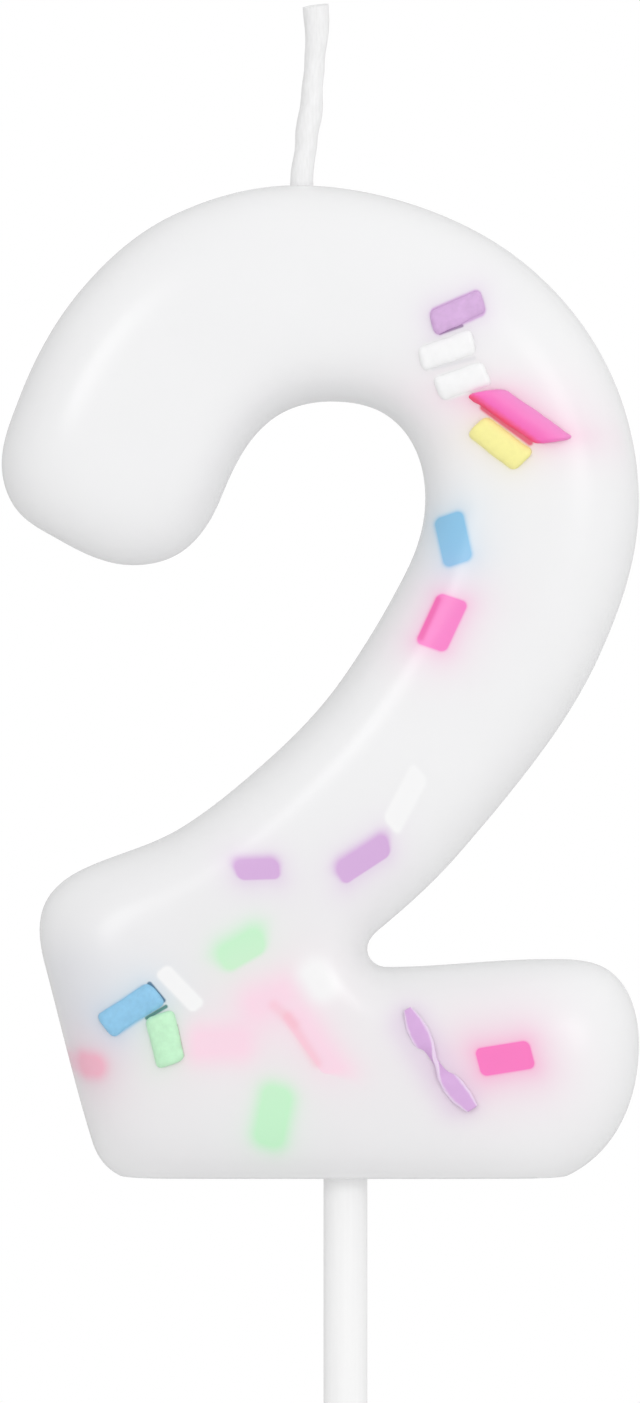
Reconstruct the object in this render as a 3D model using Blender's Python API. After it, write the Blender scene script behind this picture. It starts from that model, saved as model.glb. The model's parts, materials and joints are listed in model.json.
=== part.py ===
"""Number-two birthday candle: a cast wax numeral with coloured wax sprinkles in it, a cotton wick and a cake stick.

+Z is up and the front faces -Y. The origin is on the stick's axis, where the stick leaves the wax underside, so
the plane z = 0 rests on the cake.
"""

import math

import bmesh
import bpy
import numpy as np
from mathutils import Vector
from mathutils.bvhtree import BVHTree
from mathutils.geometry import delaunay_2d_cdt

MM = 0.001  # every dimension below is in millimetres

# Wax numeral
FACE_HEIGHT = 6.7  # height that the front and back faces tend to, from the middle plane
EDGE_ROUNDING = 4.0  # distance from the outline over which the faces rise
UNDERSIDE_TRIM = 0.7  # depth sliced off the bottom, which leaves the flat underside
RIM_SPACING = 1.25
FACE_SPACING = 2.2
RING_DEPTHS = (0.15, 0.55, 1.2, 2.1, 3.3)  # rings of mesh points inside the outline

# Knots of the outline, clockwise from the crown: x, z, heading in degrees (0 is +X, 90 is +Z)
OUTLINE_KNOTS = [
    (-3.5, 70.0, 0),
    (9.3, 66.7, -28),
    (17.0, 59.8, -56),
    (20.75, 47.6, -90),
    (18.0, 36.8, -114),
    (12.4, 28.0, -128),
    (8.0, 22.7, -131),
    (2.9, 17.8, -140),
    (1.55, 16.1, -95),
    (2.9, 14.7, 0),
    (15.6, 15.25, -1),
    (18.9, 14.3, -40),
    (20.75, 9.3, -90),
    (19.4, 3.5, -118),
    (12.8, -UNDERSIDE_TRIM, 180),
    (-13.3, -UNDERSIDE_TRIM, 180),
    (-16.4, 0.25, 147),
    (-17.9, 2.4, 107),
    (-21.3, 15.0, 105),
    (-21.0, 19.7, 56),
    (-18.2, 21.8, 24),
    (-14.9, 23.05, 20),
    (-11.7, 24.5, 31),
    (-6.2, 28.7, 41.5),
    (-0.3, 35.0, 54.5),
    (4.2, 42.5, 63),
    (5.65, 47.6, 88),
    (3.2, 53.6, 143),
    (-1.0, 54.75, 180),
    (-5.05, 53.6, 215),
    (-8.8, 47.9, -112),
    (-11.3, 44.3, -142),
    (-15.3, 43.15, 178),
    (-20.2, 44.9, 150),
    (-22.6, 46.4, 140),
    (-24.3, 50.0, 93),
    (-23.05, 55.0, 69),
    (-18.8, 62.5, 50),
    (-12.1, 67.95, 25.5),
]

# Cake stick, on the Z axis
STICK_RADIUS = 1.55
STICK_EXPOSED = 50.0
STICK_EMBEDDED = 20.0
STICK_TIP_LENGTH = 5.0
STICK_TIP_RADIUS = 0.5
STICK_CHAMFER = 0.3
STICK_SIDES = 24

# Wick: stations of the part above the wax, as x, z and radius, and the straight part inside it
WICK_RADIUS = 0.82
WICK_LINE = [(-3.1, 70.4, 0.82), (-2.95, 71.8, 0.8), (-2.75, 73.2, 0.8), (-2.55, 74.7, 0.85), (-2.4, 75.8, 0.8),
             (-2.3, 77.2, 0.73), (-2.2, 78.6, 0.73), (-2.05, 80.3, 0.8), (-2.05, 81.7, 0.9), (-2.1, 82.9, 0.92)]
WICK_BOTTOM = 59.0
WICK_SIDES = 12

# Sprinkles: short rods chopped from an extruded strand
SPRINKLE_FLATNESS = 0.86  # thickness over width
SPRINKLE_CHAMFER = 0.22
FIT_GAP = 0.3
POCKET_GAP = 0.22
OPEN_POCKET_COVER = 0.35  # a sprinkle with less wax than this over it has a pocket open to the face
POCKET_RISE = 2.5  # how far an open pocket's cutter reaches past the face
VENT_RADIUS = 0.35
CORNER = math.tan(math.radians(22.5))  # where the corners of a regular octagon lie along its sides

# One row for each sprinkle: name, colour, x, z, length, width, tilt in degrees, skew of its cut ends and the
# depth of wax over it.
FRONT_SPRINKLES = [
    ("sprinkle_lilac_crown", "lilac", 7.8, 60.65, 3.85, 1.85, 24, 0.14, 0.0),
    ("sprinkle_white_crown_upper", "white", 7.05, 58.05, 3.7, 1.8, 19, 0.1, 0.0),
    ("sprinkle_white_crown_lower", "white", 8.15, 55.75, 3.45, 1.85, 18, -0.1, 0.0),
    ("sliver_hot_pink_shoulder", "hot_pink", 12.15, 53.35, 5.6, 2.05, -36, 0.95, 0.0),
    ("sprinkle_yellow_shoulder", "yellow", 10.7, 51.4, 3.85, 1.85, -38, 0.1, 0.0),
    ("sprinkle_blue_bowl", "blue", 7.25, 44.95, 3.4, 1.9, -78, -0.1, 0.08),
    ("sprinkle_pink_bowl", "pink", 6.7, 39.0, 3.65, 2.05, 65, -0.1, 0.05),
    ("sprinkle_white_neck", "white", 4.15, 26.7, 4.3, 1.4, 70, 0.4, 0.1),
    ("sprinkle_lilac_neck_right", "lilac", 1.35, 22.3, 4.1, 1.6, 33, 0.2, 0.12),
    ("sprinkle_lilac_neck_left", "lilac", -6.15, 21.6, 3.1, 1.5, 2, -0.4, 0.2),
    ("sprinkle_green_foot_upper", "green", -7.3, 16.4, 3.7, 2.15, 30, 0.1, 0.6),
    ("sprinkle_blue_foot", "blue", -15.0, 12.0, 4.4, 2.15, 34, -0.1, 0.0),
    ("sprinkle_white_foot", "white", -11.55, 13.5, 4.0, 1.4, -46, 0.1, 0.2),
    ("sprinkle_green_foot_left", "green", -12.6, 9.75, 3.15, 1.9, -77, -0.12, 0.0),
    ("sprinkle_pale_pink_foot_left", "pale_pink", -8.75, 9.7, 4.0, 1.9, 3, 0.1, 0.9),
    ("sprinkle_coral_foot_edge", "coral", -17.85, 8.0, 2.8, 1.8, -25, 0.0, 0.7),
    ("sliver_pale_pink_foot", "pale_pink", -2.35, 9.95, 5.2, 1.4, -54, 0.8, 0.15),
    ("sprinkle_pale_pink_foot_deep", "pale_pink", -5.3, 12.7, 3.4, 1.8, 20, 0.1, 1.2),
    ("sprinkle_white_foot_deep", "white", -1.9, 14.1, 2.8, 1.8, -30, 0.0, 0.5),
    ("sprinkle_hot_pink_foot_right", "hot_pink", 11.1, 8.65, 3.75, 1.9, 8, -0.1, 0.05),
    ("sprinkle_green_foot_lower", "green", -5.05, 4.55, 4.4, 2.2, 79, 0.1, 0.7),
]
BACK_SPRINKLES = [
    ("back_sprinkle_yellow_hook", "yellow", -17.6, 50.0, 3.8, 1.85, 62, 0.1, 0.0),
    ("back_sprinkle_blue_crown", "blue", -12.0, 61.4, 3.6, 1.8, -24, 0.15, 0.0),
    ("back_sprinkle_pink_crown", "pink", 3.2, 62.3, 3.9, 1.9, 12, 0.5, 0.05),
    ("back_sprinkle_green_shoulder", "green", 12.6, 56.0, 3.5, 1.85, -58, 0.1, 0.0),
    ("back_sprinkle_lilac_bowl", "lilac", 12.6, 44.4, 3.7, 1.9, 74, -0.2, 0.1),
    ("back_sprinkle_white_bowl", "white", 7.8, 36.2, 3.6, 1.8, 30, 0.1, 0.15),
    ("back_sprinkle_coral_neck", "coral", 1.2, 27.4, 3.8, 1.85, 48, 0.3, 0.5),
    ("back_sprinkle_blue_neck", "blue", -6.0, 19.6, 3.4, 1.8, -12, 0.1, 0.7),
    ("back_sprinkle_yellow_foot", "yellow", -14.6, 15.4, 3.6, 1.85, 40, 0.1, 0.1),
    ("back_sprinkle_lilac_foot", "lilac", -11.2, 7.0, 4.1, 1.9, -8, 0.6, 0.0),
    ("back_sprinkle_pink_foot", "pink", 7.6, 9.4, 3.7, 1.85, -33, 0.1, 0.0),
    ("back_sprinkle_green_foot", "green", 13.6, 6.6, 3.3, 1.75, 64, 0.1, 0.6),
]

# Twisted strip: a flat ribbon that turns half round near its middle, where it is pinched
TWIST_CENTRE = (6.4, 8.5)
TWIST_LENGTH = 8.3
TWIST_WIDTHS = (0.8, 1.4, 1.35, 0.7, 1.35, 1.4, 0.8)  # at even steps from tip to tip
TWIST_THICKNESS = 0.45
TWIST_TILT = -57.0
TWIST_TURN = 180.0
TWIST_TURNING = 0.6  # share of the length over which it turns
TWIST_DEPTH = 0.3  # depth of its middle line under the face
TWIST_STEPS = 16

# Colour, roughness
FINISHES = {
    "wax": ((0.90, 0.89, 0.90), 0.42),
    "wick": ((0.83, 0.83, 0.82), 0.85),
    "stick": ((0.88, 0.88, 0.88), 0.35),
    "lilac": ((0.70, 0.46, 0.75), 0.5),
    "white": ((0.94, 0.94, 0.94), 0.5),
    "hot_pink": ((1.0, 0.22, 0.58), 0.5),
    "pink": ((1.0, 0.26, 0.62), 0.5),
    "pale_pink": ((0.98, 0.68, 0.76), 0.5),
    "coral": ((0.92, 0.48, 0.60), 0.5),
    "yellow": ((0.98, 0.90, 0.38), 0.5),
    "blue": ((0.30, 0.60, 0.84), 0.5),
    "green": ((0.60, 0.92, 0.62), 0.5),
}


def clear_scene():
    for obj in list(bpy.data.objects):
        bpy.data.objects.remove(obj, do_unlink=True)


def finish_material(name):
    """Principled material of one of the FINISHES."""
    if name in bpy.data.materials:
        return bpy.data.materials[name]
    colour, roughness = FINISHES[name]
    material = bpy.data.materials.new(name)
    material.use_nodes = True
    shader = material.node_tree.nodes["Principled BSDF"]
    shader.inputs["Base Color"].default_value = (*colour, 1.0)
    shader.inputs["Roughness"].default_value = roughness
    shader.inputs["Metallic"].default_value = 0.0
    return material


def mesh_object(name, points, faces, finish):
    """Object of points in millimetres, with its faces turned outwards."""
    mesh = bpy.data.meshes.new(name)
    mesh.from_pydata([Vector(point) * MM for point in points], [], faces)
    body = bmesh.new()
    body.from_mesh(mesh)
    bmesh.ops.recalc_face_normals(body, faces=body.faces)
    body.to_mesh(mesh)
    body.free()
    mesh.shade_smooth()
    mesh.set_sharp_from_angle(angle=math.radians(40))
    mesh.materials.append(finish_material(finish))
    obj = bpy.data.objects.new(name, mesh)
    bpy.context.scene.collection.objects.link(obj)
    return obj


def loft(rings):
    """Points and faces of a skin over rings of equal count, with a flat cap on each end."""
    count = len(rings[0])
    faces = [tuple(range(count))]
    for row in range(len(rings) - 1):
        for i in range(count):
            j = (i + 1) % count
            faces.append((row * count + i, row * count + j, (row + 1) * count + j, (row + 1) * count + i))
    last = (len(rings) - 1) * count
    faces.append(tuple(range(last, last + count)))
    return [point for ring in rings for point in ring], faces


def turned(stations, sides, centre=(0.0, 0.0)):
    """Loft of round horizontal rings, from (radius, z) stations."""
    rings = []
    for radius, z in stations:
        turns = [2 * math.pi * i / sides for i in range(sides)]
        rings.append([(centre[0] + radius * math.cos(a), centre[1] + radius * math.sin(a), z) for a in turns])
    return loft(rings)


def bezier_points(start, end, count):
    """Points from one outline knot towards the next, on a curve that keeps both headings."""
    first, last = np.array(start[:2]), np.array(end[:2])
    chord = last - first
    chord_heading = math.degrees(math.atan2(chord[1], chord[0]))
    bend = [abs((heading - chord_heading + 180) % 360 - 180) for heading in (start[2], end[2])]
    reach = np.linalg.norm(chord) / (3 * math.cos(math.radians(sum(bend) / 4)) ** 2)
    out, back = [np.array([math.cos(math.radians(h)), math.sin(math.radians(h))]) for h in (start[2], end[2])]
    t = np.arange(count)[:, None] / count
    handles = (first + reach * out, last - reach * back)
    return ((1 - t) ** 3 * first + 3 * t * (1 - t) ** 2 * handles[0]
            + 3 * t**2 * (1 - t) * handles[1] + t**3 * last)


def outline_points(spacing):
    """Points evenly spaced along the numeral's outline, counterclockwise."""
    knots = OUTLINE_KNOTS
    dense = np.concatenate([bezier_points(a, b, 40) for a, b in zip(knots, knots[1:] + knots[:1])])
    loop = np.vstack([dense, dense[:1]])[::-1]
    travelled = np.concatenate([[0], np.cumsum(np.linalg.norm(np.diff(loop, axis=0), axis=1))])
    stops = np.linspace(0, travelled[-1], round(travelled[-1] / spacing), endpoint=False)
    return np.stack([np.interp(stops, travelled, loop[:, axis]) for axis in (0, 1)], axis=1)


def rim_distance(points, rim):
    """Distance from each point to the closed outline."""
    start, step = rim, np.roll(rim, -1, axis=0) - rim
    offset = points[:, None] - start[None]
    along = np.clip((offset * step).sum(-1) / (step**2).sum(-1), 0, 1)
    return np.linalg.norm(offset - along[..., None] * step, axis=-1).min(axis=1)


def inside(points, rim):
    """Whether each point is inside the closed outline."""
    ahead = np.roll(rim, -1, axis=0)
    x, z = points[:, :1], points[:, 1:]
    spans = (rim[:, 1] > z) != (ahead[:, 1] > z)
    slope = (ahead[:, 0] - rim[:, 0]) / np.where(ahead[:, 1] == rim[:, 1], 1, ahead[:, 1] - rim[:, 1])
    return (spans & (x < rim[:, 0] + slope * (z - rim[:, 1]))).sum(axis=1) % 2 == 1


def face_points(rim):
    """Mesh points inside the outline: rings near the rim, then a hexagonal grid."""
    tangent = np.roll(rim, -1, axis=0) - np.roll(rim, 1, axis=0)
    tangent /= np.linalg.norm(tangent, axis=1)[:, None]
    inward = np.stack([-tangent[:, 1], tangent[:, 0]], axis=1)
    kept = []
    for depth in RING_DEPTHS:
        ring = rim + depth * inward
        kept.append(ring[rim_distance(ring, rim) > 0.93 * depth])
    low, high = rim.min(axis=0), rim.max(axis=0)
    rows = np.arange(low[1], high[1], FACE_SPACING * math.sqrt(0.75))
    columns = np.arange(low[0], high[0], FACE_SPACING)
    grid = np.array([(x + (row % 2) * FACE_SPACING / 2, z) for row, z in enumerate(rows) for x in columns])
    grid = grid[inside(grid, rim)]
    kept.append(grid[rim_distance(grid, rim) > RING_DEPTHS[-1] + 0.6 * FACE_SPACING])
    return np.concatenate(kept)


def face_rise(points, triangles, rim_count):
    """Height of the face over each point, from zero on the rim.

    The share u of the full rise solves u - EDGE_ROUNDING**2 * laplacian(u) = 1 with u = 0 on the rim. That is a
    smooth puffed form with no ridge where opposite edges are equally near. Linear elements and conjugate
    gradients solve it.
    """
    corners = points[triangles]
    opposite = np.roll(corners, -1, axis=1) - np.roll(corners, -2, axis=1)
    area = 0.5 * np.abs(opposite[:, 0, 0] * opposite[:, 1, 1] - opposite[:, 0, 1] * opposite[:, 1, 0])
    stiffness = np.einsum("tik,tjk->tij", opposite, opposite) / (4 * area)[:, None, None]
    count = len(points)
    spread = triangles.ravel()
    mass = np.bincount(spread, np.repeat(area / 3, 3), minlength=count)
    free = np.arange(count) >= rim_count

    def balance(u):
        pull = np.einsum("tij,tj->ti", stiffness, u[triangles])
        total = EDGE_ROUNDING**2 * np.bincount(spread, pull.ravel(), minlength=count) + mass * u
        return np.where(free, total, 0)

    u = np.zeros(count)
    residual = np.where(free, mass, 0)
    direction = residual.copy()
    power = residual @ residual
    while power > 1e-16:
        pushed = balance(direction)
        step = power / (direction @ pushed)
        u += step * direction
        residual -= step * pushed
        power, before = residual @ residual, power
        direction = residual + power / before * direction
    return FACE_HEIGHT * np.sqrt(1 - (1 - u) ** 2)


def wax_blank():
    """Points and triangles of the numeral before it is trimmed: two puffed faces that share the rim."""
    rim = outline_points(RIM_SPACING)
    flat = np.concatenate([rim, face_points(rim)])
    edges = [(i, (i + 1) % len(rim)) for i in range(len(rim))]
    vectors = [Vector((float(x), float(z))) for x, z in flat]
    placed, _, triangles, *_ = delaunay_2d_cdt(vectors, edges, [], 1, 1e-5)
    placed = np.array([tuple(point) for point in placed])
    triangles = np.array(triangles)
    rise = face_rise(placed, triangles, len(rim))
    front = [(x, -y, z) for (x, z), y in zip(placed, rise)]
    back = [(x, y, z) for (x, z), y in zip(placed[len(rim):], rise[len(rim):])]
    shift = len(placed) - len(rim)
    behind = [[i if i < len(rim) else i + shift for i in triangle[::-1]] for triangle in triangles]
    return front + back, [tuple(map(int, triangle)) for triangle in [*triangles, *behind]]


def wax_numeral(points, triangles):
    """The numeral, sliced flat at z = 0."""
    numeral = mesh_object("wax_number_two", points, triangles, "wax")
    body = bmesh.new()
    body.from_mesh(numeral.data)
    everything = [*body.verts, *body.edges, *body.faces]
    bmesh.ops.bisect_plane(body, geom=everything, dist=1e-8, plane_co=(0, 0, 0), plane_no=(0, 0, 1), clear_inner=True)
    bmesh.ops.holes_fill(body, edges=[edge for edge in body.edges if edge.is_boundary], sides=0)
    bmesh.ops.recalc_face_normals(body, faces=body.faces)
    body.to_mesh(numeral.data)
    body.free()
    return numeral


def surface_frame(skin, x, z, tilt, length, width, side):
    """Point on the front (side -1) or back (side 1) face, and axes along, across and out of it."""
    along = Vector((math.cos(math.radians(tilt)), 0, math.sin(math.radians(tilt))))
    across = Vector((-along.z, 0, along.x))
    middle = Vector((x, 0, z))

    def on_face(offset):
        start = (middle + offset) * MM
        start.y = side * 20 * MM
        return skin.ray_cast(start, Vector((0, -side, 0)))[0] / MM

    run = on_face(along * length * 0.4) - on_face(along * length * -0.4)
    run.normalize()
    span = on_face(across * width * 0.5) - on_face(across * width * -0.5)
    out = run.cross(span).normalized()
    out *= math.copysign(1, out.y * side)
    return on_face(Vector()), run, out.cross(run), out


def rod_rings(frame, length, section, skew, chamfer):
    """Rings of a rod along the frame's first axis, whose ends are cut at a skew and chamfered."""
    centre, run, span, out = frame
    shrink = 1 - chamfer / max(abs(across) for across, _ in section)
    rings = []
    for place, scale in ((-0.5, shrink), (-0.5, 1), (0.5, 1), (0.5, shrink)):
        inset = chamfer * math.copysign(1, -place) if scale == 1 else 0
        rings.append([centre + run * (place * length + inset + skew * across * scale)
                      + span * across * scale + out * up * scale for across, up in section])
    return rings


def octagon(half_width, half_height):
    corner_width, corner_height = half_width * CORNER, half_height * CORNER
    return [(half_width, corner_height), (corner_width, half_height), (-corner_width, half_height),
            (-half_width, corner_height), (-half_width, -corner_height), (-corner_width, -half_height),
            (corner_width, -half_height), (half_width, -corner_height)]


def open_section(half_width, half_height):
    """Octagon whose outer half is drawn out past the face."""
    return [(half_width, POCKET_RISE), (-half_width, POCKET_RISE), *octagon(half_width, half_height)[4:]]


def cutter_object(name, points, faces):
    """Hidden closed body that a Boolean takes out of the wax."""
    cutter = mesh_object(name, points, faces, "wax")
    bpy.context.scene.collection.objects.unlink(cutter)
    cutters().objects.link(cutter)
    cutter.hide_render = True
    cutter.display_type = "WIRE"
    return cutter


def cutters():
    if "cutters" not in bpy.data.collections:
        bpy.context.scene.collection.children.link(bpy.data.collections.new("cutters"))
    return bpy.data.collections["cutters"]


def sunk(frame, depth):
    centre, run, span, out = frame
    return centre - out * depth, run, span, out


def sprinkle(skin, row, side):
    """A chopped rod in the wax, and the pocket that it sits in."""
    name, colour, x, z, length, width, tilt, skew, cover = row
    half_height = width * SPRINKLE_FLATNESS / 2
    frame = sunk(surface_frame(skin, x, z, tilt, length, width, side), cover + half_height)
    rod = loft(rod_rings(frame, length, octagon(width / 2, half_height), skew, SPRINKLE_CHAMFER))
    mesh_object(name, *rod, colour)
    wide, high = width / 2 + POCKET_GAP, half_height + POCKET_GAP
    roomy = length + 2 * POCKET_GAP * math.hypot(1, skew)
    if cover < OPEN_POCKET_COVER:
        pocket = rod_rings(frame, roomy, open_section(wide, high), skew, 0)
    else:
        pocket = rod_rings(frame, roomy, octagon(wide, high), skew, 0)
        vent(name + "_vent", frame, cover + half_height)
    cutter_object(name + "_pocket", *loft([pocket[1], pocket[2]]))


def vent(name, frame, depth):
    """Pinhole from a buried pocket to the face, so that the wax has no sealed hollow."""
    centre, run, span, out = frame
    turns = [math.pi * i / 3 for i in range(6)]
    rings = []
    for height in (0, depth + POCKET_RISE):
        rings.append([centre + out * height + VENT_RADIUS * (run * math.cos(a) + span * math.sin(a)) for a in turns])
    cutter_object(name, *loft(rings))


def twist_rings(frame):
    """Rings of a flat ribbon that turns about its middle line."""
    centre, run, span, out = frame
    rings = []
    for step in range(TWIST_STEPS + 1):
        share = step / TWIST_STEPS
        turned_by = min(1, max(0, (share - 0.5) / TWIST_TURNING + 0.5))
        turn = math.radians(TWIST_TURN) * turned_by**2 * (3 - 2 * turned_by)
        flat = span * math.cos(turn) + out * math.sin(turn)
        thick = out * math.cos(turn) - span * math.sin(turn)
        width = np.interp(share * (len(TWIST_WIDTHS) - 1), range(len(TWIST_WIDTHS)), TWIST_WIDTHS)
        middle = centre + run * TWIST_LENGTH * (share - 0.5)
        section = octagon(float(width) / 2, TWIST_THICKNESS / 2)
        rings.append([middle + flat * across + thick * up for across, up in section])
    return rings


def twisted_strip(skin):
    """The twisted lilac strip, and its pocket, a plain slot wide enough for the turning ribbon."""
    width = max(TWIST_WIDTHS)
    frame = sunk(surface_frame(skin, *TWIST_CENTRE, TWIST_TILT, TWIST_LENGTH, width, -1), TWIST_DEPTH)
    mesh_object("twist_lilac_foot", *loft(twist_rings(frame)), "lilac")
    reach = width / 2 + POCKET_GAP
    slot = rod_rings(frame, TWIST_LENGTH + 2 * POCKET_GAP, open_section(reach, reach), 0, 0)
    cutter_object("twist_lilac_foot_pocket", *loft([slot[1], slot[2]]))


def cake_stick():
    """Round stick with a chamfered top end in the wax and a blunt cone to push into the cake."""
    top, bottom = STICK_EMBEDDED, -STICK_EXPOSED
    stations = [
        (STICK_RADIUS - STICK_CHAMFER, top),
        (STICK_RADIUS, top - STICK_CHAMFER),
        (STICK_RADIUS, bottom + STICK_TIP_LENGTH),
        (STICK_TIP_RADIUS, bottom),
    ]
    mesh_object("cake_stick", *turned(stations, STICK_SIDES), "stick")
    reach = STICK_RADIUS + FIT_GAP
    socket = turned([(reach, top + FIT_GAP), (reach, -5)], STICK_SIDES)
    cutter_object("stick_socket", *socket)


def wick():
    """Waxed cotton cord: a straight length in the wax and a slightly leaning stub above it."""
    turns = [2 * math.pi * i / WICK_SIDES for i in range(WICK_SIDES)]
    rings = []
    for x, z, radius in [(WICK_LINE[0][0], WICK_BOTTOM, WICK_RADIUS), *WICK_LINE]:
        rings.append([(x + radius * math.cos(a), radius * math.sin(a), z) for a in turns])
    mesh_object("wick", *loft(rings), "wick")
    bore = turned([(WICK_RADIUS + FIT_GAP, WICK_BOTTOM - FIT_GAP), (WICK_RADIUS + FIT_GAP, 73)], WICK_SIDES,
                  (WICK_LINE[0][0], 0))
    cutter_object("wick_bore", *bore)


def main():
    clear_scene()
    points, triangles = wax_blank()
    numeral = wax_numeral(points, triangles)
    skin = BVHTree.FromPolygons([Vector(point) * MM for point in points], triangles)
    for row in FRONT_SPRINKLES:
        sprinkle(skin, row, -1)
    for row in BACK_SPRINKLES:
        sprinkle(skin, row, 1)
    twisted_strip(skin)
    cake_stick()
    wick()
    cut = numeral.modifiers.new("pockets, socket and wick bore", "BOOLEAN")
    cut.operation = "DIFFERENCE"
    cut.operand_type = "COLLECTION"
    cut.collection = cutters()
    cut.solver = "EXACT"


main()
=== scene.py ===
"""Looks of the number-two birthday candle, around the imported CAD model. Metres, +Z up, the front faces -Y."""

import json
import math

import bmesh
import bpy
import numpy as np
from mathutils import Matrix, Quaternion, Vector, noise
from mathutils.bvhtree import BVHTree
from mathutils.geometry import delaunay_2d_cdt

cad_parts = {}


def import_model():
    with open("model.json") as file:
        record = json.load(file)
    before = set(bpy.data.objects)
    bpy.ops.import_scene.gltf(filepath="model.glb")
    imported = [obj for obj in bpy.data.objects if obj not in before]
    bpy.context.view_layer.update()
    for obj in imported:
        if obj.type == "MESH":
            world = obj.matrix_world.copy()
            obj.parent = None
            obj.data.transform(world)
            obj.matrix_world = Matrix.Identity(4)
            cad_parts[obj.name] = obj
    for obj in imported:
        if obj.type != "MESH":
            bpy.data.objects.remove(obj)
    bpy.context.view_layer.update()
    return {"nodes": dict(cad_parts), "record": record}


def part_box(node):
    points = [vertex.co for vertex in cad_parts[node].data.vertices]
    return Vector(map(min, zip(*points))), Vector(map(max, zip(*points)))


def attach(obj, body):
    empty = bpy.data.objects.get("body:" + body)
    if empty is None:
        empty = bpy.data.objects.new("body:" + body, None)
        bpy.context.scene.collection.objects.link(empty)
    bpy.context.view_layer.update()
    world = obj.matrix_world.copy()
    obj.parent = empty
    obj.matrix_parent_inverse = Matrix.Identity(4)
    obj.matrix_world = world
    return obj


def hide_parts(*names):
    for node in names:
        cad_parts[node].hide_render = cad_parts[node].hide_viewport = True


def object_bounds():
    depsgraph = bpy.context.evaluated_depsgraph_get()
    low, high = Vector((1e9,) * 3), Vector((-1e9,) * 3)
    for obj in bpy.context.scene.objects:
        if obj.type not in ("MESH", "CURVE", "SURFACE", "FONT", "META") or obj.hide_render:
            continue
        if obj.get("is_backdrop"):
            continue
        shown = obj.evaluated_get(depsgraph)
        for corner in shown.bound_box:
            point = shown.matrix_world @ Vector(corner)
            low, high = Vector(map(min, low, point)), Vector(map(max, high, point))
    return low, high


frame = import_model()
SLOTS = {part["node"]: part["material_slot"] for part in frame["record"]["subparts"]}

MM = 0.001

# Wax numeral, in millimetres, as in the CAD model
FACE_HEIGHT = 6.7  # height that the front and back faces tend to, from the middle plane
EDGE_ROUNDING = 4.0  # distance from the outline over which the faces rise
UNDERSIDE_TRIM = 0.7  # depth sliced off the bottom, which leaves the flat underside
RIM_SPACING = 0.36
FACE_SPACING = 0.4
RING_DEPTHS = (0.02, 0.07, 0.15, 0.27, 0.43, 0.64, 0.9, 1.2, 1.55)  # rings of mesh points inside the outline
WAVE_LENGTH = 11.0  # slow waviness of the cast surface
WAVE_HEIGHT = 0.05

# Knots of the outline, clockwise from the crown: x, z, heading in degrees (0 is +X, 90 is +Z)
OUTLINE_KNOTS = [
    (-3.5, 70.0, 0),
    (9.3, 66.7, -28),
    (17.0, 59.8, -56),
    (20.75, 47.6, -90),
    (18.0, 36.8, -114),
    (12.4, 28.0, -128),
    (8.0, 22.7, -131),
    (2.9, 17.8, -140),
    (1.55, 16.1, -95),
    (2.9, 14.7, 0),
    (15.6, 15.25, -1),
    (18.9, 14.3, -40),
    (20.75, 9.3, -90),
    (19.4, 3.5, -118),
    (12.8, -UNDERSIDE_TRIM, 180),
    (-13.3, -UNDERSIDE_TRIM, 180),
    (-16.4, 0.25, 147),
    (-17.9, 2.4, 107),
    (-21.3, 15.0, 105),
    (-21.0, 19.7, 56),
    (-18.2, 21.8, 24),
    (-14.9, 23.05, 20),
    (-11.7, 24.5, 31),
    (-6.2, 28.7, 41.5),
    (-0.3, 35.0, 54.5),
    (4.2, 42.5, 63),
    (5.65, 47.6, 88),
    (3.2, 53.6, 143),
    (-1.0, 54.75, 180),
    (-5.05, 53.6, 215),
    (-8.8, 47.9, -112),
    (-11.3, 44.3, -142),
    (-15.3, 43.15, 178),
    (-20.2, 44.9, 150),
    (-22.6, 46.4, 140),
    (-24.3, 50.0, 93),
    (-23.05, 55.0, 69),
    (-18.8, 62.5, 50),
    (-12.1, 67.95, 25.5),
]

# Wick above the wax: x, z and radius in millimetres
WICK_LINE = [
    (-3.1, 70.0, 0.82),
    (-3.0, 71.5, 0.80),
    (-2.8, 72.7, 0.79),
    (-2.7, 73.8, 0.82),
    (-2.55, 74.8, 0.85),
    (-2.4, 75.7, 0.81),
    (-2.35, 76.9, 0.74),
    (-2.25, 78.0, 0.725),
    (-2.15, 79.2, 0.74),
    (-2.05, 80.4, 0.80),
    (-2.05, 81.7, 0.90),
    (-2.1, 82.75, 0.92),
]
WICK_HIDDEN_TOP = 68.5  # top of the straight part inside the wax, given by evenly spaced stations
WICK_HIDDEN_STATIONS = 5
WICK_STEPS = 150
WICK_SIDES = 48
WICK_PLIES = 3
WICK_RELIEF = 0.015  # how far a ply stands out, over the radius
WICK_TWIST = 9.0  # millimetres of cord for one full turn of the plies
WICK_CUT = 1.5  # length over which the slant of the cut end fades
WICK_SLANT = (0.13, 0.2)  # rise of the cut end towards +X and +Y, over the radius
WICK_HOLLOW = ((0.9, 0.0), (0.72, 0.12), (0.4, 0.16))  # rings of the cut end: scale and how far they sink

# Cake stick
STICK_TIP_LENGTH = 5.0
STICK_TIP_RADIUS = 0.5
STICK_ROUNDING = 0.3  # of the end inside the wax
STICK_SIDES = 72

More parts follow.
